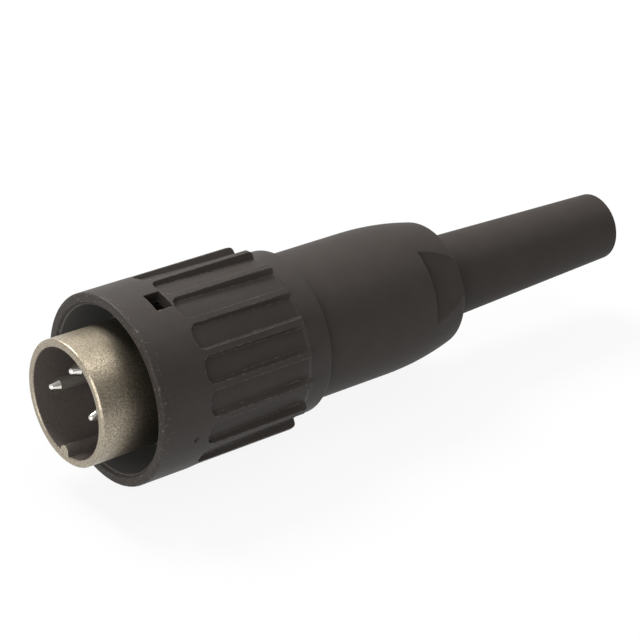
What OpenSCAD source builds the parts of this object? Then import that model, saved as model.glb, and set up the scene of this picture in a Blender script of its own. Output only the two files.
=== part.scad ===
// Three-pole circular cable plug with a bayonet coupling ring.
// Millimetres. +X runs from the mating rim to the cable end, +Z is up,
// the key rib points to -Z and the origin is the centre of the mating rim.

/* [Mating shell] */
// Outside diameter of the metal nose
shell_od = 13.2; // [12.6:0.1:13.8]
// Wall of the metal nose in front of the insert
shell_wall = 0.8; // [0.7:0.05:1.0]
// How far the nose stands out of the coupling ring
shell_reach = 4.75; // [3:0.05:6.5]
// Depth of the socket from the rim to the insert face
socket_depth = 7.5; // [6:0.1:9]
// Width of the key rib
key_width = 1.2; // [0.8:0.1:1.6]
// Height of the key rib off the socket wall
key_height = 0.95; // [0.7:0.05:1.3]

/* [Contacts] */
// Diameter of the circle the pins stand on
pin_circle = 7.0; // [6.4:0.1:7.2]
// Diameter of a contact pin
pin_dia = 1.4; // [1.0:0.05:1.6]
// Distance of the pin tips behind the rim
pin_setback = 0.5; // [0.3:0.05:1.5]
// Outside diameter of a solder cup
cup_dia = 2.2; // [2.0:0.05:2.5]

/* [Coupling ring] */
// Outside diameter of the ring over its ridges
ring_od = 20.1; // [19.7:0.1:21]
// Length of the ring
ring_length = 21.9; // [20.6:0.05:23]
// Wall of the ring at its mouth
mouth_wall = 1.25; // [1:0.05:1.4]
// Number of grip ridges round the ring
ridge_count = 18; // [12:2:20]
// Width of a ridge at its crest
ridge_width = 0.64; // [0.4:0.02:0.9]
// Smooth collar in front of the flutes
collar_length = 5.7; // [5.6:0.05:6]
// Length of a ridge
ridge_length = 12.9; // [10:0.1:13.4]
// Depth of a flute at its front end
flute_front_depth = 0.46; // [0.3:0.02:0.6]
// Depth of a flute at the ridges' rear end
flute_rear_depth = 0.8; // [0.66:0.02:0.9]
// Turn of the ring from straight up, in degrees
ring_turn = 12; // [0:1:20]
// Width of a lug window
window_width = 2.5; // [1.8:0.1:3]
// Length of a lug window
window_length = 1.9; // [1.4:0.1:2.2]
// Height of a bayonet lug off the ring's bore
lug_height = 0.95; // [0.6:0.05:1.1]

/* [Back shell] */
// Outside diameter of the back shell
back_od = 16.0; // [15.6:0.1:16.2]
// Length of the back shell
back_length = 24.0; // [23:0.1:27]
// Distance across the spanner flats
flat_across = 13.3; // [13:0.1:14]
// Turn of the flats from straight up, in degrees
flat_turn = 59; // [0:1:90]

/* [Bend relief] */
// Length of the relief outside the back shell
relief_length = 26.4; // [16:0.1:36]
// Diameter where the relief leaves the back shell
relief_front_dia = 9.4; // [8.6:0.05:9.6]
// Diameter at the free end
relief_end_dia = 7.7; // [7.2:0.1:8.6]
// Cable bore through the relief
cable_bore = 5.5; // [4:0.1:5.8]

/* [Hidden] */
$fn = 96;

// Gaps between neighbouring pieces
seat_gap = 0.05;
slip = 0.05;
turn_fit = 0.08;
skirt_gap = 0.2;
flange_gap = 0.15;
washer_gap = 0.25;
washer_fit = 0.1;
spring_fit = 0.15;
hole_gap = 0.02;
shield_gap = 0.1;
collet_gap = 0.1;
exit_gap = 0.07;

// Steps and edges of the mating shell
rim_edge = 0.18;
socket_edge = 0.12;
insert_step = 0.3;
bearing_step = 0.8;
thread_step = 0.3;
spigot_wall = 0.7;
spigot_length = 8.0;
spigot_edge = 0.4;
flange_place = 12.15;
flange_length = 2.0;
rib_root = 0.3;
index_reach = 0.8;
index_root = 0.2;
index_depth = 2.0;

// Insert, contacts and clip
hole_depth = 4.4;
root_step = 0.2;
pin_spread = 90;
tip_r = 0.36;
tip_blend = 0.2;
tip_narrow = 0.04;
tip_length = 1.0;
cup_wall = 0.32;
cup_length = 5.0;
cup_floor = 3.6;
cup_cut = 0.9;
recess_r = 1.6;
recess_depth = 1.2;
clip_place = 0.9;
clip_thick = 0.8;
clip_depth = 0.45;
clip_reach = 0.4;
clip_opening = 45;

// Spring, washer and lip behind the flange
spring_room = 1.35;
spring_free = 1.4;
spring_thick = 0.3;
washer_thick = 0.4;
lip_length = 2.0;

// Coupling ring steps and edges
ring_edge = 0.2;
mouth_edge = 0.35;
cavity_step = 0.25;
cavity_place = 1.0;
ridge_top_edge = 0.4;
ridge_flare = 0.28;
flute_corner = 1.15;
flute_over = 0.6;
tail_step = 0.02;
tail_blend = 0.6;
tail_fall = 0.32;
tail_edge = 0.2;
skirt_wall = 0.73;
lug_place = 1.15;
window_place = 3.65;
mark_place = 4.2;
mark_r = 0.4;
mark_depth = 0.24;

// Shield halves and clamp
collar_wall = 0.6;
collar_reach = 2.5;
shield_end = 1.0;
shield_clear = 0.3;
wire_room = 0.55;
collet_front_room = 0.75;
collet_rear_room = 0.5;
collet_lip = 0.6;
slot_count = 6;
slot_width = 0.8;
slot_root = 1.4;

// Back shell and relief
mouth_lead = 0.25;
taper_place = 9.2;
taper_length = 5.4;
flat_wall = 0.85;
flat_length = 4.9;
pocket_step = 0.6;
pocket_length = 1.45;
swell_length = 9.0;
swell_r = 36.5;
nose_r = 0.6;
relief_edge = 0.25;
bore_edge = 0.3;

// Radii from the outside in
ring_r = ring_od / 2;
mouth_r = ring_r - mouth_wall;
cavity_r = mouth_r - cavity_step;
flange_r = cavity_r - flange_gap;
washer_r = cavity_r - washer_gap;
back_r = back_od / 2;
skirt_bore_r = back_r + skirt_gap;

// The bearing fits both the ring's cavity and the back shell's front face
bearing_r = min(cavity_r - spring_room, back_r - bearing_step);
thread_r = bearing_r - thread_step;
back_bore_r = thread_r + slip;

// The insert's bore fits both the nose and the threaded spigot
shell_r = shell_od / 2;
socket_r = shell_r - shell_wall;
insert_bore_r = min(socket_r + insert_step, thread_r - spigot_wall);
insert_r = insert_bore_r - slip;
clip_groove_r = insert_bore_r + clip_depth;
pin_r = pin_dia / 2;
root_r = pin_r + root_step;
cup_r = cup_dia / 2;
cup_bore_r = cup_r - cup_wall;

// Stack along the axis
ring_front = shell_reach;
ring_rear = ring_front + ring_length;
flange_front = ring_front + flange_place;
flange_rear = flange_front + flange_length;
spring_front = flange_rear + seat_gap;
washer_front = spring_front + spring_free + seat_gap;
lip_front = washer_front + washer_thick + seat_gap;
lip_rear = lip_front + lip_length;
back_front = lip_rear + seat_gap;
back_rear = back_front + back_length;
spigot_rear = back_front + spigot_length;
insert_front = socket_depth;
clip_front = flange_front + clip_place;
insert_rear = clip_front - seat_gap;
hole_step = insert_front + hole_depth;
cup_rear = insert_rear + cup_length;

// Coupling ring outside
ridge_front = ring_front + collar_length;
ridge_rear = ridge_front + ridge_length;
ridge_pitch = 360 / ridge_count;
floor_fall = (flute_rear_depth - flute_front_depth) / ridge_length;
floor_rear_r = ring_r - flute_rear_depth;
tail_front_r = max(floor_rear_r - tail_fall, skirt_bore_r + skirt_wall);
tail_r = tail_front_r - floor_fall * (ring_rear - ridge_rear - tail_blend);

// Back shell inside and relief
taper_front = back_rear - taper_place;
taper_rear = taper_front + taper_length;
taper_front_r = flat_across / 2 - flat_wall;
relief_front_r = relief_front_dia / 2;
relief_end_r = relief_end_dia / 2;
cable_r = cable_bore / 2;
exit_r = relief_front_r + exit_gap;
pocket_r = exit_r + pocket_step;
pocket_rear = taper_rear + pocket_length;
relief_end = back_rear + relief_length;

// Reach of a cut that runs right out of the part, and overlap of one that ends at a face
beyond = ring_od;
over = 1.0;

// Turn a shape made round Z so that it lies along X
module along_x() {
    rotate([0, 90, 0]) children();
}

// Turn round the axis by an angle from straight up
module turned(angle) {
    rotate([0, 0, 180 + angle]) children();
}

// Round tube between two axial places
module tube(front, rear, outer, inner) {
    translate([0, 0, front])
    difference() {
        cylinder(r = outer, h = rear - front);
        translate([0, 0, -over])
        cylinder(r = inner, h = rear - front + 2 * over);
    }
}

// Metal nose, key rib, flange and threaded spigot
module front_shell() {
    color([0.74, 0.71, 0.64])
    along_x()
    union() {
        rotate_extrude()
        difference() {
            polygon([
                [0, 0],
                [shell_r - rim_edge, 0],
                [shell_r, rim_edge],
                [shell_r, flange_front],
                [flange_r, flange_front],
                [flange_r, flange_rear],
                [bearing_r, flange_rear],
                [bearing_r, back_front],
                [thread_r, back_front],
                [thread_r, spigot_rear - spigot_edge],
                [thread_r - spigot_edge, spigot_rear],
                [0, spigot_rear]]);
            polygon([
                [-over, -over],
                [socket_r + socket_edge, -over],
                [socket_r + socket_edge, 0],
                [socket_r, socket_edge],
                [socket_r, insert_front],
                [insert_bore_r, insert_front],
                [insert_bore_r, clip_front - seat_gap],
                [clip_groove_r, clip_front - seat_gap],
                [clip_groove_r, clip_front + clip_thick + seat_gap],
                [insert_bore_r, clip_front + clip_thick + seat_gap],
                [insert_bore_r, spigot_rear + over],
                [-over, spigot_rear + over]]);
        }
        key_rib();
    }
}

// Rib that keys the plug, with a round tip, and its short tail that indexes the insert
module key_rib() {
    tip = socket_r - key_height + key_width / 2;
    turned(180) {
        linear_extrude(height = insert_front)
        union() {
            translate([tip, -key_width / 2])
            square([socket_r + rib_root - tip, key_width]);
            translate([tip, 0])
            circle(d = key_width);
        }
        translate([insert_bore_r - index_reach, -key_width / 2, insert_front - index_root])
        cube([index_reach + index_root, key_width, index_depth + index_root]);
    }
}

// Moulded block that carries the three contacts
module contact_insert() {
    color([0.10, 0.10, 0.10])
    along_x()
    difference() {
        translate([0, 0, insert_front])
        cylinder(r = insert_r, h = insert_rear - insert_front);
        turned(180)
        translate([insert_bore_r - index_reach - slip, -key_width / 2 - slip, insert_front - over])
        cube([2 * index_reach, key_width + 2 * slip, index_depth + over + slip]);
        for (angle = [-pin_spread, 0, pin_spread])
        turned(angle)
        translate([pin_circle / 2, 0, 0]) {
            translate([0, 0, insert_front - over])
            cylinder(r = root_r + hole_gap, h = beyond);
            translate([0, 0, hole_step])
            cylinder(r = cup_r + hole_gap, h = beyond);
        }
        translate([0, 0, insert_rear - recess_depth])
        cylinder(r = recess_r, h = 2 * recess_depth);
    }
}

// One contact: tapered pin in front, solder cup behind
module contact_pin(angle) {
    along_x()
    turned(angle)
    translate([pin_circle / 2, 0, 0])
    difference() {
        union() {
            translate([0, 0, pin_setback + tip_r])
            sphere(r = tip_r);
            translate([0, 0, pin_setback + tip_blend])
            cylinder(r1 = tip_r - tip_narrow, r2 = pin_r, h = tip_length - tip_blend);
            translate([0, 0, pin_setback + tip_length])
            cylinder(r = pin_r, h = insert_front - pin_setback - tip_length);
            translate([0, 0, insert_front])
            cylinder(r = root_r, h = hole_step + hole_gap - insert_front);
            translate([0, 0, hole_step + hole_gap])
            cylinder(r = cup_r, h = cup_rear - hole_step - hole_gap);
        }
        translate([0, 0, cup_rear - cup_floor])
        cylinder(r = cup_bore_r, h = cup_floor + over);
        translate([0, -cup_r - over, cup_rear - cup_floor + cup_cut])
        cube([cup_r + over, 2 * (cup_r + over), cup_floor + over]);
    }
}

module contact_pin_1() {
    color([0.80, 0.79, 0.76]) contact_pin(pin_spread);
}

module contact_pin_2() {
    color([0.80, 0.79, 0.76]) contact_pin(0);
}

module contact_pin_3() {
    color([0.80, 0.79, 0.76]) contact_pin(-pin_spread);
}

// Open wire ring that locks the insert in the shell
module insert_clip() {
    clip_slope = tan(clip_opening / 2);
    color([0.55, 0.55, 0.56])
    along_x()
    difference() {
        tube(clip_front, clip_front + clip_thick, clip_groove_r - slip, insert_bore_r - clip_reach);
        turned(0)
        linear_extrude(height = clip_front + clip_thick + over)
        polygon([[0, 0], [beyond, -beyond * clip_slope], [beyond, beyond * clip_slope]]);
    }
}

// Outer form of the ring before its flutes are cut
module ring_blank() {
    step = ring_front + collar_length + cavity_place;
    rotate_extrude()
    difference() {
        union() {
            polygon([
                [0, ring_front],
                [ring_r - ring_edge, ring_front],
                [ring_r - ring_edge, ring_front + ring_edge],
                [ring_r, ring_front + ring_edge],
                [ring_r, ridge_rear - ridge_top_edge],
                [ring_r - ridge_top_edge, ridge_rear - ridge_top_edge],
                [ring_r - ridge_top_edge, ridge_rear],
                [floor_rear_r - tail_step, ridge_rear],
                [tail_front_r, ridge_rear + tail_blend],
                [tail_r, ring_rear - tail_edge],
                [tail_r - tail_edge, ring_rear - tail_edge],
                [tail_r - tail_edge, ring_rear],
                [0, ring_rear]]);
            translate([ring_r - ring_edge, ring_front + ring_edge])
            circle(r = ring_edge);
            translate([ring_r - ridge_top_edge, ridge_rear - ridge_top_edge])
            circle(r = ridge_top_edge);
            translate([tail_r - tail_edge, ring_rear - tail_edge])
            circle(r = tail_edge);
        }
        polygon([
            [-over, ring_front - over],
            [mouth_r + mouth_edge, ring_front - over],
            [mouth_r + mouth_edge, ring_front],
            [mouth_r, ring_front + mouth_edge],
            [mouth_r, step],
            [cavity_r, step + cavity_step],
            [cavity_r, lip_front],
            [bearing_r + turn_fit, lip_front],
            [bearing_r + turn_fit, lip_rear],
            [skirt_bore_r, lip_rear],
            [skirt_bore_r, ring_rear + over],
            [-over, ring_rear + over]]);
    }
}

// Space outside the sloping flute floors
module flute_space() {
    rotate_extrude()
    polygon([
        [ring_r - flute_front_depth + floor_fall * over, ridge_front - over],
        [ring_r + 2 * over, ridge_front - over],
        [ring_r + 2 * over, ridge_rear + over],
        [floor_rear_r - floor_fall * over, ridge_rear + over]]);
}

// Outline of a flute seen from outside, with two round corners in front
module flute_outline(half) {
    translate([ridge_front + flute_corner, -half])
    square([ridge_length + 2 * over, 2 * half]);
    translate([ridge_front, flute_corner - half])
    square([2 * flute_corner, 2 * (half - flute_corner)]);
    for (side = [-1, 1])
    translate([ridge_front + flute_corner, side * (half - flute_corner)])
    circle(r = flute_corner);
}

// One flute between two ridges: sloping side walls and a rounded front end
module flute_cutter() {
    half = ridge_pitch / 2;
    top_angle = half - asin(ridge_width / 2 / ring_r);
    base_angle = half - asin((ridge_width / 2 + ridge_flare) / floor_rear_r);
    top = [ring_r * cos(top_angle), ring_r * sin(top_angle)];
    base = [floor_rear_r * cos(base_angle), floor_rear_r * sin(base_angle)];
    lean = (top[1] - base[1]) / (top[0] - base[0]);
    inner = base[0] - flute_over;
    outer = top[0] + flute_over;
    intersection() {
        flute_space();
        translate([0, 0, ridge_front - over])
        linear_extrude(height = ridge_length + 3 * over)
        polygon([
            [inner, -base[1] + flute_over * lean],
            [outer, -top[1] - flute_over * lean],
            [outer, top[1] + flute_over * lean],
            [inner, base[1] - flute_over * lean]]);
        translate([inner - over, 0, 0])
        rotate([0, 90, 0])
        rotate([0, 0, 180])
        linear_extrude(height = outer - inner + 3 * over)
        flute_outline(top[1] + slip);
    }
}

// Bayonet ring with grip flutes, lug windows and two lugs inside
module coupling_ring() {
    lug_front = ring_front + lug_place;
    window_front = ring_front + window_place;
    color([0.13, 0.125, 0.12])
    along_x()
    difference() {
        union() {
            difference() {
                ring_blank();
                for (i = [0 : ridge_count - 1])
                turned(ring_turn + ridge_pitch * (i + 0.5))
                flute_cutter();
            }
            for (angle = [0, 180])
            turned(ring_turn + angle)
            translate([mouth_r - lug_height, -window_width / 2, lug_front])
            cube([lug_height + mouth_wall / 3, window_width, window_front - lug_front]);
        }
        for (angle = [0, 180])
        turned(ring_turn + angle)
        translate([mouth_r - 2 * lug_height, -window_width / 2, window_front])
        cube([beyond, window_width, window_length]);
        turned(ring_turn + 90)
        translate([ring_r + mark_r - mark_depth, 0, ring_front + mark_place])
        sphere(r = mark_r);
    }
}

// Bowed steel washer that presses the ring back
module ring_spring() {
    bow = spring_free - spring_thick;
    bend_r = (washer_r * washer_r + bow * bow) / (2 * bow);
    color([0.60, 0.60, 0.62])
    along_x()
    intersection() {
        tube(spring_front - over, spring_front + spring_free + over, washer_r, bearing_r + spring_fit);
        translate([0, beyond, spring_front + bend_r])
        rotate([90, 0, 0])
        difference() {
            cylinder(r = bend_r, h = 2 * beyond, $fn = 200);
            translate([0, 0, -over])
            cylinder(r = bend_r - spring_thick, h = 2 * (beyond + over), $fn = 200);
        }
        translate([0, 0, spring_front])
        cylinder(r = washer_r + over, h = spring_free);
    }
}

// Flat washer between the spring and the ring's inner lip
module thrust_washer() {
    color([0.62, 0.62, 0.64])
    along_x()
    tube(washer_front, washer_front + washer_thick, washer_r, bearing_r + washer_fit);
}

// Half of the metal sleeve round the soldered wires
module shield_half(side) {
    outer = back_bore_r - shield_gap;
    collar = insert_bore_r - shield_gap;
    inner = collar - collar_wall;
    front = spigot_rear + seat_gap;
    rear = taper_front - shield_clear;
    color([0.66, 0.65, 0.62])
    along_x()
    difference() {
        rotate_extrude()
        difference() {
            polygon([
                [0, front - collar_reach],
                [collar, front - collar_reach],
                [collar, front],
                [outer, front],
                [outer, rear],
                [0, rear]]);
            polygon([
                [-over, front - collar_reach - over],
                [inner, front - collar_reach - over],
                [inner, rear - shield_end],
                [cable_r + wire_room, rear - shield_end],
                [cable_r + wire_room, rear + over],
                [-over, rear + over]]);
        }
        turned(side)
        translate([-beyond + seat_gap / 2, -beyond, 0])
        cube([beyond, 2 * beyond, rear + beyond]);
    }
}

module shield_half_upper() {
    shield_half(0);
}

module shield_half_lower() {
    shield_half(180);
}

// Slotted clamp that the back shell squeezes onto the cable
module clamp_collet() {
    front = taper_front - shield_clear + seat_gap;
    rear = taper_rear - collet_gap;
    outer = taper_front_r - collet_gap;
    fall = (taper_front_r - pocket_r) / taper_length;
    color([0.18, 0.18, 0.19])
    along_x()
    difference() {
        rotate_extrude()
        difference() {
            polygon([
                [0, front],
                [outer, front],
                [outer, taper_front],
                [outer - fall * (rear - taper_front), rear],
                [0, rear]]);
            polygon([
                [-over, front - over],
                [cable_r + collet_front_room, front - over],
                [cable_r + collet_front_room, rear - 2 * collet_lip],
                [cable_r + collet_rear_room, rear - collet_lip],
                [cable_r + collet_rear_room, rear + over],
                [-over, rear + over]]);
        }
        for (i = [0 : slot_count - 1])
        turned(360 / slot_count * (i + 0.5))
        translate([0, -slot_width / 2, front + slot_root])
        cube([beyond, slot_width, beyond]);
    }
}

// Plastic body with a rounded tail and two spanner flats
module back_shell() {
    straight_end = back_rear - swell_length;
    nose_run = swell_length - nose_r;
    nose_centre_r = back_r - swell_r + sqrt(pow(swell_r - nose_r, 2) - pow(nose_run, 2));
    nose_start = nose_run * swell_r / (swell_r - nose_r);
    color([0.14, 0.135, 0.13])
    along_x()
    difference() {
        rotate_extrude()
        difference() {
            union() {
                translate([0, back_front])
                square([back_r, straight_end - back_front]);
                intersection() {
                    translate([0, straight_end - slip])
                    square([back_r, swell_length + slip]);
                    translate([back_r - swell_r, straight_end])
                    circle(r = swell_r, $fn = 200);
                    union() {
                        translate([0, straight_end - over])
                        square([back_r, nose_start + over]);
                        translate([0, straight_end])
                        square([nose_centre_r, swell_length]);
                        translate([nose_centre_r, back_rear - nose_r])
                        circle(r = nose_r);
                    }
                }
            }
            polygon([
                [-over, back_front - over],
                [back_bore_r + mouth_lead, back_front - over],
                [back_bore_r + mouth_lead, back_front],
                [back_bore_r, back_front + mouth_lead],
                [back_bore_r, taper_front],
                [taper_front_r, taper_front],
                [pocket_r, taper_rear],
                [pocket_r, pocket_rear],
                [exit_r, pocket_rear],
                [exit_r, back_rear + over],
                [-over, back_rear + over]]);
        }
        for (angle = [0, 180])
        turned(flat_turn + angle)
        translate([flat_across / 2, -beyond, back_rear - flat_length])
        cube([beyond, 2 * beyond, beyond]);
    }
}

// Flexible tapered sleeve, trapped by its flange inside the back shell
module bend_relief() {
    flange_start = taper_rear + seat_gap;
    color([0.16, 0.155, 0.15])
    along_x()
    rotate_extrude()
    difference() {
        polygon([
            [0, flange_start],
            [pocket_r - slip, flange_start],
            [pocket_r - slip, pocket_rear - seat_gap],
            [relief_front_r, pocket_rear - seat_gap],
            [relief_front_r, back_rear],
            [relief_end_r, relief_end - relief_edge],
            [relief_end_r - relief_edge, relief_end],
            [0, relief_end]]);
        polygon([
            [-over, flange_start - over],
            [cable_r, flange_start - over],
            [cable_r, relief_end - bore_edge],
            [cable_r + bore_edge, relief_end],
            [cable_r + bore_edge, relief_end + over],
            [-over, relief_end + over]]);
    }
}

front_shell();
contact_insert();
contact_pin_1();
contact_pin_2();
contact_pin_3();
insert_clip();
coupling_ring();
ring_spring();
thrust_washer();
shield_half_upper();
shield_half_lower();
clamp_collet();
back_shell();
bend_relief();
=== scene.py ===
import bmesh
import bpy
from math import radians
from mathutils import Matrix, Vector


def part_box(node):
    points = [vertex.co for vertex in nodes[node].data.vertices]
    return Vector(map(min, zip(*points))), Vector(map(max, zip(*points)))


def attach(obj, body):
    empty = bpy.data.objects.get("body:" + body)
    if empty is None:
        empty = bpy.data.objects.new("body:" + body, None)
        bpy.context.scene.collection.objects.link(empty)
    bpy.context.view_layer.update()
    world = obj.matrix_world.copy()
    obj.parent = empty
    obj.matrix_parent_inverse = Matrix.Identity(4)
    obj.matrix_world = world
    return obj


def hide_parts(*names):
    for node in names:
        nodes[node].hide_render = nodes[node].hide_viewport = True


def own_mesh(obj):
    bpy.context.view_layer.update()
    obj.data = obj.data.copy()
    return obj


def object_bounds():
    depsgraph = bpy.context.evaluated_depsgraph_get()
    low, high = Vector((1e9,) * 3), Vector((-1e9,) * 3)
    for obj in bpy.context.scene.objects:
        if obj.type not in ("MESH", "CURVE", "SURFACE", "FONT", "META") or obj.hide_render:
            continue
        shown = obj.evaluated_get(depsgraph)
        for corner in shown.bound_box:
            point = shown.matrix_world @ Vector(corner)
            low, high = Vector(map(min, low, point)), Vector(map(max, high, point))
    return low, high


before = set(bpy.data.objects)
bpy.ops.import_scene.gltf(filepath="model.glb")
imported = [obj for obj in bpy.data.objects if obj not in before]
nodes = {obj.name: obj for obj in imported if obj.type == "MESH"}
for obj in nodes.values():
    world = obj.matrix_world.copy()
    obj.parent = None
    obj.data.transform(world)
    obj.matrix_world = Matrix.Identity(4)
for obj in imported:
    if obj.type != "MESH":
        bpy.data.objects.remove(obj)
cad_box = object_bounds()
MM = 0.001
MICRON = 0.001 * MM


# Sizes of the plug, in millimetres behind the rim or out from the axis

ring_low, ring_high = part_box("coupling_ring")

RING_FRONT = ring_low.x / MM
RING_WALL = 1.25
MOUTH_RADIUS = ring_high.z / MM - RING_WALL
SOCKET_RADIUS = 6.0
TIP_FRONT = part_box("contact_pin_1")[0].x / MM

# Weld distance for the spring's copy, in millimetres, and the angle in radians above which its edges stay
# sharp

WELD_GAP = 0.001
SHARP_ANGLE = 0.6

# Where each kind of wear, painted shade and painted light starts and ends, in the same millimetres

# The next two spans mark the socket's wall, which gets painted shade.
RIM_TURN = (0.02, 0.16)
SOCKET_WALL = (SOCKET_RADIUS + 0.05, SOCKET_RADIUS - 0.05)
# The next span is where painted shade starts on the pins' shafts.
TIP_END = (TIP_FRONT + 0.95, TIP_FRONT + 1.25)
# The next span is where painted shade darkens the nose towards the ring.
RING_SHADE_SPAN = (RING_FRONT - 1.25, RING_FRONT + 1.05)
SCUFFED_FRONT = (RING_FRONT + 0.05, RING_FRONT + 1.55)
# The next three spans mark the mouth's wall, where painted light lifts the shade.
MOUTH_LIGHT_END = (RING_FRONT + 11.25, RING_FRONT + 12.25)
MOUTH_LIGHT_OUTSIDE = (MOUTH_RADIUS + 0.1, MOUTH_RADIUS + 0.02)
MOUTH_LIGHT_INSIDE = (MOUTH_RADIUS - 0.5, MOUTH_RADIUS - 0.35)

# Colours of the metal, of the wear, and of painted shade and painted light

NICKEL_SHADE = (0.23, 0.196, 0.148)
NICKEL_SPECK = (0.54, 0.475, 0.372)
NICKEL_FILM = (0.26, 0.225, 0.175)
# Painted shade on the nose where the ring's mouth shades it
NICKEL_RING_SHADE = (0.190, 0.170, 0.145)
# Worn nickel on the edges, which also serves as a painted edge highlight
NICKEL_EDGE_WEAR_AND_HIGHLIGHT = (0.60, 0.55, 0.46)
# Painted shade for the socket's inner wall
SOCKET_PAINTED_SHADE = (0.098, 0.083, 0.075)
SOCKET_PAINTED_SPECK = (0.140, 0.120, 0.109)
SILVER_BRIGHT = (0.90, 0.89, 0.86)
SILVER_DULL = (0.74, 0.71, 0.65)
# Painted shade for the pins' shafts inside the socket
SILVER_SHAFT_SHADE = (0.36, 0.335, 0.30)
# Rubbed wear on the ring; along its edges it is also a painted edge highlight
RING_WEAR_AND_HIGHLIGHT = (0.210, 0.187, 0.165)
# Painted light: grey that lifts the shade inside the ring's mouth
MOUTH_PAINTED_LIGHT = (0.130, 0.132, 0.133)

# Cosine between the eased normal and the face's own, where an edge starts and where it is full

EDGE_START = 0.995
EDGE_FULL = 0.80
EDGE_SAMPLES = 6

# Floor, room and camera, with the camera's angles in degrees

FLOOR_SIDE = 6.0
FLOOR_PAPER = (0.58, 0.60, 0.62, 1.0)
FLOOR_WHITE_SHARE = 0.90
LAMP_COLOUR = (1.0, 0.98, 0.94)
ROOM_COLOUR = (1.0, 0.985, 0.96, 1.0)
ROOM_BRIGHT_SIDE = (0.42, 0.86, 0.28)
LIT_POINT = Vector((12.0, 0.0, 0.0)) * MM
CAMERA_PLACE = Vector((-107.827, -161.131, 117.944)) * MM
CAMERA_YAW = -41.005
CAMERA_ELEVATION = 28.964
CAMERA_ROLL = 4.18


# Node helpers

def new_finish(name):
    """A node material for one finish of the plug, with its shader and its object coordinates."""
    finish = bpy.data.materials.new(name)
    finish.use_nodes = True
    tree = finish.node_tree
    shader = tree.nodes["Principled BSDF"]
    place = tree.nodes.new("ShaderNodeTexCoord").outputs["Object"]
    return finish, tree, shader, place


def stretched(tree, place, along, across):
    """Object coordinates scaled along and across the plug's axis."""
    mapping = tree.nodes.new("ShaderNodeMapping")
    mapping.inputs["Scale"].default_value = (along, across, across)
    tree.links.new(place, mapping.inputs["Vector"])
    return mapping.outputs["Vector"]


def from_axis(tree, place):
    """Distance from the plug's axis in metres."""
    node = tree.nodes.new("ShaderNodeVectorMath")
    node.operation = "LENGTH"
    tree.links.new(stretched(tree, place, along=0.0, across=1.0), node.inputs[0])
    return node.outputs["Value"]


def along_axis(tree, place):
    """Distance behind the mating rim in metres."""
    node = tree.nodes.new("ShaderNodeSeparateXYZ")
    tree.links.new(place, node.inputs["Vector"])
    return node.outputs["X"]


def grain(tree, place, size_mm, detail=2.0, rough=0.5):
    """Noise whose features are about size_mm across."""
    noise = tree.nodes.new("ShaderNodeTexNoise")
    noise.inputs["Scale"].default_value = 1.0 / (size_mm * MM)
    noise.inputs["Detail"].default_value = detail
    noise.inputs["Roughness"].default_value = rough
    tree.links.new(place, noise.inputs["Vector"])
    return noise.outputs["Fac"]


def remap(tree, source, low, high, first=0.0, last=1.0):
    """Value that goes from first to last as the source goes from low to high."""
    node = tree.nodes.new("ShaderNodeMapRange")
    node.inputs["From Min"].default_value = low
    node.inputs["From Max"].default_value = high
    node.inputs["To Min"].default_value = first
    node.inputs["To Max"].default_value = last
    tree.links.new(source, node.inputs["Value"])
    return node.outputs["Result"]


def fade(tree, distance, span, first=0.0, last=1.0):
    """Value that goes from first to last over a span of distances in millimetres."""
    start, end = span
    return remap(tree, distance, start * MM, end * MM, first, last)


def graded(tree, share, first, last):
    """Value that goes from first to last as a share goes from 0 to 1."""
    return remap(tree, share, 0.0, 1.0, first, last)


def times(tree, first, second):
    """Product of two values."""
    node = tree.nodes.new("ShaderNodeMath")
    node.operation = "MULTIPLY"
    tree.links.new(first, node.inputs[0])
    tree.links.new(second, node.inputs[1])
    return node.outputs["Value"]


def either(tree, first, second):
    """Sum of two shares, at most 1."""
    node = tree.nodes.new("ShaderNodeMath")
    node.operation = "ADD"
    node.use_clamp = True
    tree.links.new(first, node.inputs[0])
    tree.links.new(second, node.inputs[1])
    return node.outputs["Value"]


def mixed(tree, share, first, second):
    """Colour between first and second, each a colour or an output."""
    node = tree.nodes.new("ShaderNodeMix")
    node.data_type = "RGBA"
    tree.links.new(share, node.inputs["Factor"])
    for socket, colour in ((node.inputs[6], first), (node.inputs[7], second)):
        if isinstance(colour, tuple):
            socket.default_value = (*colour, 1.0)
        else:
            tree.links.new(colour, socket)
    return node.outputs[2]


def eased_edges(tree, radius_mm):
    """Normals rounded over the edges, and how far each point is part of an edge."""
    bevel = tree.nodes.new("ShaderNodeBevel")
    bevel.samples = EDGE_SAMPLES
    bevel.inputs["Radius"].default_value = radius_mm * MM
    geometry = tree.nodes.new("ShaderNodeNewGeometry")
    dot = tree.nodes.new("ShaderNodeVectorMath")
    dot.operation = "DOT_PRODUCT"
    tree.links.new(bevel.outputs["Normal"], dot.inputs[0])
    tree.links.new(geometry.outputs["Normal"], dot.inputs[1])
    edge = remap(tree, dot.outputs["Value"], EDGE_START, EDGE_FULL)
    return bevel.outputs["Normal"], edge


def raised(tree, height, depth_um, normal=None):
    """Bump of the given depth in micrometres."""
    bump = tree.nodes.new("ShaderNodeBump")
    bump.inputs["Distance"].default_value = depth_um * MICRON
    tree.links.new(height, bump.inputs["Height"])
    if normal is not None:
        tree.links.new(normal, bump.inputs["Normal"])
    return bump.outputs["Normal"]


# Finishes

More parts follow.
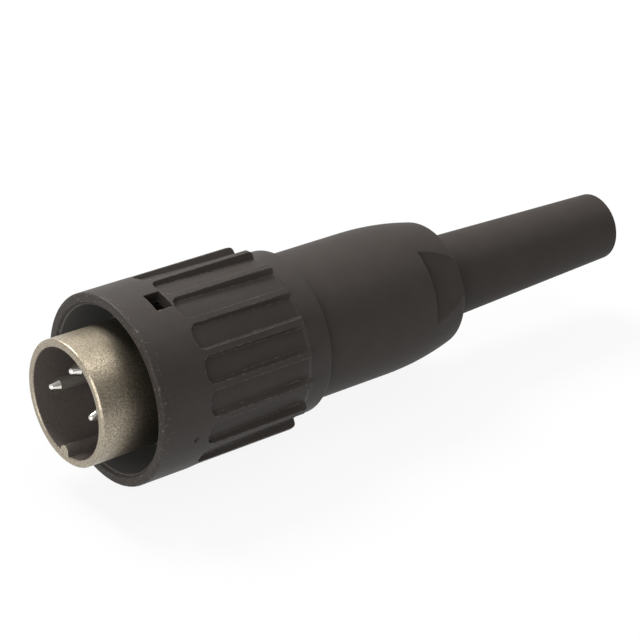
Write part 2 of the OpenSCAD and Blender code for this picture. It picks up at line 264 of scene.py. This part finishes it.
def moulded_black(name, deep, pale, rubbed_and_highlit, grain_mm, grain_um, roughness, edge_mm, gloss=0.15, marks=None):
    """Matt moulded plastic with grain, a cloudy tone, edges lighter from rubbing and a painted highlight,
    and any marks of the piece's own.
    """
    finish, tree, shader, place = new_finish(name)
    normal, edge = eased_edges(tree, edge_mm)
    clouds = grain(tree, place, size_mm=3.0, detail=3.0, rough=0.6)
    tone = mixed(tree, remap(tree, clouds, low=0.35, high=0.65), deep, pale)
    if marks is not None:
        tone = marks(tree, place, tone)
    chips = grain(tree, place, size_mm=0.45, detail=3.0)
    # Edges: noisy rubbed nicks over a steady painted highlight along every edge
    nicks_and_edge_light = remap(tree, chips, low=0.48, high=0.66, first=0.12)
    tree.links.new(mixed(tree, times(tree, edge, nicks_and_edge_light), tone, rubbed_and_highlit), shader.inputs["Base Color"])
    fine = grain(tree, place, size_mm=grain_mm, detail=3.0, rough=0.65)
    tree.links.new(remap(tree, fine, 0.3, 0.7, *roughness), shader.inputs["Roughness"])
    tree.links.new(raised(tree, fine, grain_um, normal), shader.inputs["Normal"])
    shader.inputs["Specular IOR Level"].default_value = gloss
    return finish


def ring_marks(tree, place, tone):
    """Painted light that lifts the shade on the wall of the ring's mouth, and pale flecks just behind its
    front.
    """
    radius = from_axis(tree, place)
    behind_rim = along_axis(tree, place)
    # Painted light: the mouth's wall is lightened to lift its shade
    wall = times(tree, fade(tree, radius, MOUTH_LIGHT_OUTSIDE), fade(tree, radius, MOUTH_LIGHT_INSIDE))
    mouth = fade(tree, behind_rim, MOUTH_LIGHT_END, first=1.0, last=0.0)
    mouth_lit = mixed(tree, times(tree, mouth, wall), tone, MOUTH_PAINTED_LIGHT)
    scuffed = fade(tree, behind_rim, SCUFFED_FRONT, first=0.7, last=0.0)
    flecks = remap(tree, grain(tree, place, size_mm=0.30, detail=4.0, rough=0.7), low=0.58, high=0.70)
    return mixed(tree, times(tree, flecks, scuffed), mouth_lit, RING_WEAR_AND_HIGHLIGHT)


def die_cast_nickel():
    """Dull nickel on a blasted casting, painted shade in the socket and by the ring, worn edges with a
    painted highlight.
    """
    finish, tree, shader, place = new_finish("nickel_on_casting")
    normal, edge = eased_edges(tree, radius_mm=0.14)
    behind_rim = along_axis(tree, place)
    speckle = grain(tree, place, size_mm=0.17, detail=2.0, rough=0.6)
    spread = remap(tree, speckle, low=0.34, high=0.66)
    blasted = mixed(tree, spread, NICKEL_SHADE, NICKEL_SPECK)
    smears = grain(tree, place, size_mm=2.2, detail=3.0, rough=0.55)
    filmed = mixed(tree, remap(tree, smears, low=0.42, high=0.68, last=0.35), blasted, NICKEL_FILM)
    # Painted shade: the nose darkens towards the ring, as in the ring's shadow
    ring_shaded = mixed(tree, fade(tree, behind_rim, RING_SHADE_SPAN, last=0.55), filmed, NICKEL_RING_SHADE)
    # Painted shade on the socket's wall, as in the shade of the socket
    socket = mixed(tree, spread, SOCKET_PAINTED_SHADE, SOCKET_PAINTED_SPECK)
    bored = fade(tree, from_axis(tree, place), SOCKET_WALL)
    inside = times(tree, bored, fade(tree, behind_rim, RIM_TURN))
    body = mixed(tree, inside, ring_shaded, socket)
    # Edges lighter from wear and from a painted highlight, less so in the socket
    edge_wear_and_highlight = times(tree, edge, graded(tree, inside, first=1.0, last=0.25))
    tree.links.new(mixed(tree, edge_wear_and_highlight, body, NICKEL_EDGE_WEAR_AND_HIGHLIGHT), shader.inputs["Base Color"])
    tree.links.new(remap(tree, speckle, 0.3, 0.7, first=0.46, last=0.34), shader.inputs["Roughness"])
    tree.links.new(raised(tree, speckle, depth_um=28.0, normal=normal), shader.inputs["Normal"])
    # The painted shade in the socket also lowers the metal's shine there.
    tree.links.new(graded(tree, inside, first=1.0, last=0.2), shader.inputs["Metallic"])
    return finish


def silvered_contact():
    """Silver plating with faint lengthwise drawing marks, bright at the tip, with painted shade on the
    shaft behind it.
    """
    finish, tree, shader, place = new_finish("silver_on_contact")
    marks = grain(tree, stretched(tree, place, along=0.12, across=1.0), size_mm=0.12, detail=3.0)
    film = remap(tree, grain(tree, place, size_mm=0.9), low=0.4, high=0.7)
    plating = mixed(tree, film, SILVER_BRIGHT, SILVER_DULL)
    # Painted shade: the shaft behind the tip is darker, duller and less metallic
    shaft_shade = fade(tree, along_axis(tree, place), TIP_END)
    tree.links.new(mixed(tree, shaft_shade, plating, SILVER_SHAFT_SHADE), shader.inputs["Base Color"])
    tree.links.new(graded(tree, shaft_shade, first=0.12, last=0.42), shader.inputs["Roughness"])
    tree.links.new(graded(tree, shaft_shade, first=1.0, last=0.7), shader.inputs["Metallic"])
    tree.links.new(raised(tree, marks, depth_um=2.0), shader.inputs["Normal"])
    return finish


def rolled_metal(name, bright, dull, marks_mm, roughness):
    """Sheet or wire with rolling marks and a dull film."""
    finish, tree, shader, place = new_finish(name)
    marks = grain(tree, stretched(tree, place, along=0.2, across=1.0), size_mm=marks_mm, detail=3.0)
    film = remap(tree, grain(tree, place, size_mm=2.0), low=0.38, high=0.66)
    tree.links.new(mixed(tree, film, bright, dull), shader.inputs["Base Color"])
    tree.links.new(remap(tree, marks, 0.3, 0.7, *roughness), shader.inputs["Roughness"])
    tree.links.new(raised(tree, marks, depth_um=4.0), shader.inputs["Normal"])
    shader.inputs["Metallic"].default_value = 1.0
    return finish


def dress(finish, *names):
    """Give CAD nodes a finish."""
    for name in names:
        slots = nodes[name].data.materials
        slots.clear()
        slots.append(finish)


dress(die_cast_nickel(), "front_shell")
dress(silvered_contact(), "contact_pin_1", "contact_pin_2", "contact_pin_3")
dress(
    moulded_black(
        "insert_black",
        deep=(0.016, 0.0145, 0.013), pale=(0.022, 0.020, 0.018), rubbed_and_highlit=(0.03, 0.03, 0.03),
        grain_mm=0.11, grain_um=10.0, roughness=(0.55, 0.70), edge_mm=0.05,
    ),
    "contact_insert",
)
dress(
    moulded_black(
        "ring_black",
        deep=(0.0275, 0.0228, 0.0205), pale=(0.0312, 0.0258, 0.0232), rubbed_and_highlit=RING_WEAR_AND_HIGHLIGHT,
        grain_mm=0.16, grain_um=26.0, roughness=(0.46, 0.60), edge_mm=0.14, gloss=0.25, marks=ring_marks,
    ),
    "coupling_ring",
)
dress(
    moulded_black(
        "back_shell_black",
        deep=(0.034, 0.0288, 0.0265), pale=(0.037, 0.0315, 0.0288), rubbed_and_highlit=(0.110, 0.098, 0.086),
        grain_mm=0.14, grain_um=16.0, roughness=(0.50, 0.66), edge_mm=0.14,
    ),
    "back_shell",
)
dress(
    moulded_black(
        "relief_black",
        deep=(0.032, 0.0272, 0.0249), pale=(0.036, 0.0306, 0.0280), rubbed_and_highlit=(0.06, 0.053, 0.046),
        grain_mm=0.14, grain_um=20.0, roughness=(0.58, 0.74), edge_mm=0.12,
    ),
    "bend_relief",
)
dress(
    moulded_black(
        "clamp_grey",
        deep=(0.05, 0.05, 0.053), pale=(0.075, 0.075, 0.078), rubbed_and_highlit=(0.12, 0.12, 0.12),
        grain_mm=0.11, grain_um=10.0, roughness=(0.45, 0.6), edge_mm=0.08,
    ),
    "clamp_collet",
)
spring_finish = rolled_metal(
    "spring_steel",
    bright=(0.56, 0.55, 0.54), dull=(0.42, 0.41, 0.40), marks_mm=0.2, roughness=(0.28, 0.44),
)
dress(spring_finish, "insert_clip", "ring_spring", "thrust_washer")
shield_finish = rolled_metal(
    "plated_shield",
    bright=(0.66, 0.63, 0.57), dull=(0.52, 0.49, 0.44), marks_mm=0.3, roughness=(0.30, 0.46),
)
dress(shield_finish, "shield_half_upper", "shield_half_lower")


# Bowed washer

def bowed_washer():
    """Spring behind the flange, as in the CAD, copied with its doubles welded and its sharp edges kept."""
    shape = bmesh.new()
    shape.from_mesh(nodes["ring_spring"].data)
    bmesh.ops.remove_doubles(shape, verts=shape.verts, dist=WELD_GAP * MM)
    for edge in shape.edges:
        edge.smooth = edge.calc_face_angle(0.0) < SHARP_ANGLE
    mesh = bpy.data.meshes.new("bowed_washer")
    shape.to_mesh(mesh)
    shape.free()
    mesh.materials.append(spring_finish)
    washer = bpy.data.objects.new("bowed_washer", mesh)
    bpy.context.scene.collection.objects.link(washer)
    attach(washer, "plug_body")
    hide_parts("ring_spring")
    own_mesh(washer)


bowed_washer()


# Floor, light and camera

def pale_floor():
    """White table under the plug that keeps its shadow."""
    bpy.ops.mesh.primitive_plane_add(size=FLOOR_SIDE, location=(0.0, 0.0, cad_box[0].z))
    floor = bpy.context.object
    floor.name = "floor"
    finish = bpy.data.materials.new("floor_white")
    finish.use_nodes = True
    tree = finish.node_tree
    tree.nodes.clear()
    output = tree.nodes.new("ShaderNodeOutputMaterial")
    paper = tree.nodes.new("ShaderNodeBsdfDiffuse")
    paper.inputs["Color"].default_value = FLOOR_PAPER
    glow = tree.nodes.new("ShaderNodeEmission")
    glow.inputs["Strength"].default_value = 1.0
    blend = tree.nodes.new("ShaderNodeMixShader")
    path = tree.nodes.new("ShaderNodeLightPath").outputs
    mirrored = either(tree, path["Is Glossy Ray"], path["Is Transmission Ray"])
    seen = either(tree, path["Is Camera Ray"], mirrored)
    tree.links.new(graded(tree, seen, first=0.0, last=FLOOR_WHITE_SHARE), blend.inputs["Fac"])
    tree.links.new(paper.outputs["BSDF"], blend.inputs[1])
    tree.links.new(glow.outputs["Emission"], blend.inputs[2])
    tree.links.new(blend.outputs["Shader"], output.inputs["Surface"])
    floor.data.materials.append(finish)


def soft_lamp(name, place, side, power):
    """Square lamp, with its place and side in metres and its power in watts, turned to the plug."""
    lamp = bpy.data.lights.new(name, "AREA")
    lamp.shape = "SQUARE"
    lamp.size = side
    lamp.energy = power
    lamp.color = LAMP_COLOUR
    box = bpy.data.objects.new(name, lamp)
    box.location = place
    box.rotation_euler = (LIT_POINT - box.location).to_track_quat("-Z", "Y").to_euler()
    bpy.context.scene.collection.objects.link(box)


def pale_room():
    """Room light that is weaker on the camera's side."""
    world = bpy.data.worlds.new("pale_room")
    bpy.context.scene.world = world
    world.use_nodes = True
    tree = world.node_tree
    sky = tree.nodes["Background"]
    sky.inputs["Color"].default_value = ROOM_COLOUR
    place = tree.nodes.new("ShaderNodeTexCoord")
    behind = tree.nodes.new("ShaderNodeVectorMath")
    behind.operation = "DOT_PRODUCT"
    behind.inputs[1].default_value = ROOM_BRIGHT_SIDE
    tree.links.new(place.outputs["Generated"], behind.inputs[0])
    strength = remap(tree, behind.outputs["Value"], low=-0.6, high=0.9, first=0.32, last=0.76)
    tree.links.new(strength, sky.inputs["Strength"])


def photo_camera():
    """Camera where the photograph was taken from."""
    lens = bpy.data.cameras.new("photo_camera")
    lens.sensor_width = 36.0
    lens.lens = 129.38
    lens.clip_start = 0.01
    lens.clip_end = 20.0
    camera = bpy.data.objects.new("photo_camera", lens)
    bpy.context.scene.collection.objects.link(camera)
    yaw = Matrix.Rotation(radians(CAMERA_YAW), 4, "Z")
    tilt = Matrix.Rotation(radians(90.0 - CAMERA_ELEVATION), 4, "X")
    roll = Matrix.Rotation(radians(CAMERA_ROLL), 4, "Z")
    camera.matrix_world = Matrix.Translation(CAMERA_PLACE) @ yaw @ tilt @ roll
    bpy.context.scene.camera = camera


pale_floor()
soft_lamp("soft_box", place=(-0.01, 0.30, 0.40), side=0.18, power=3.15)
soft_lamp("overhead", place=(0.140, -0.035, 0.44), side=0.20, power=0.48)
soft_lamp("front_fill", place=(-0.36, -0.19, 0.13), side=0.30, power=1.25)
pale_room()
photo_camera()
bpy.context.scene.view_settings.view_transform = "Standard"
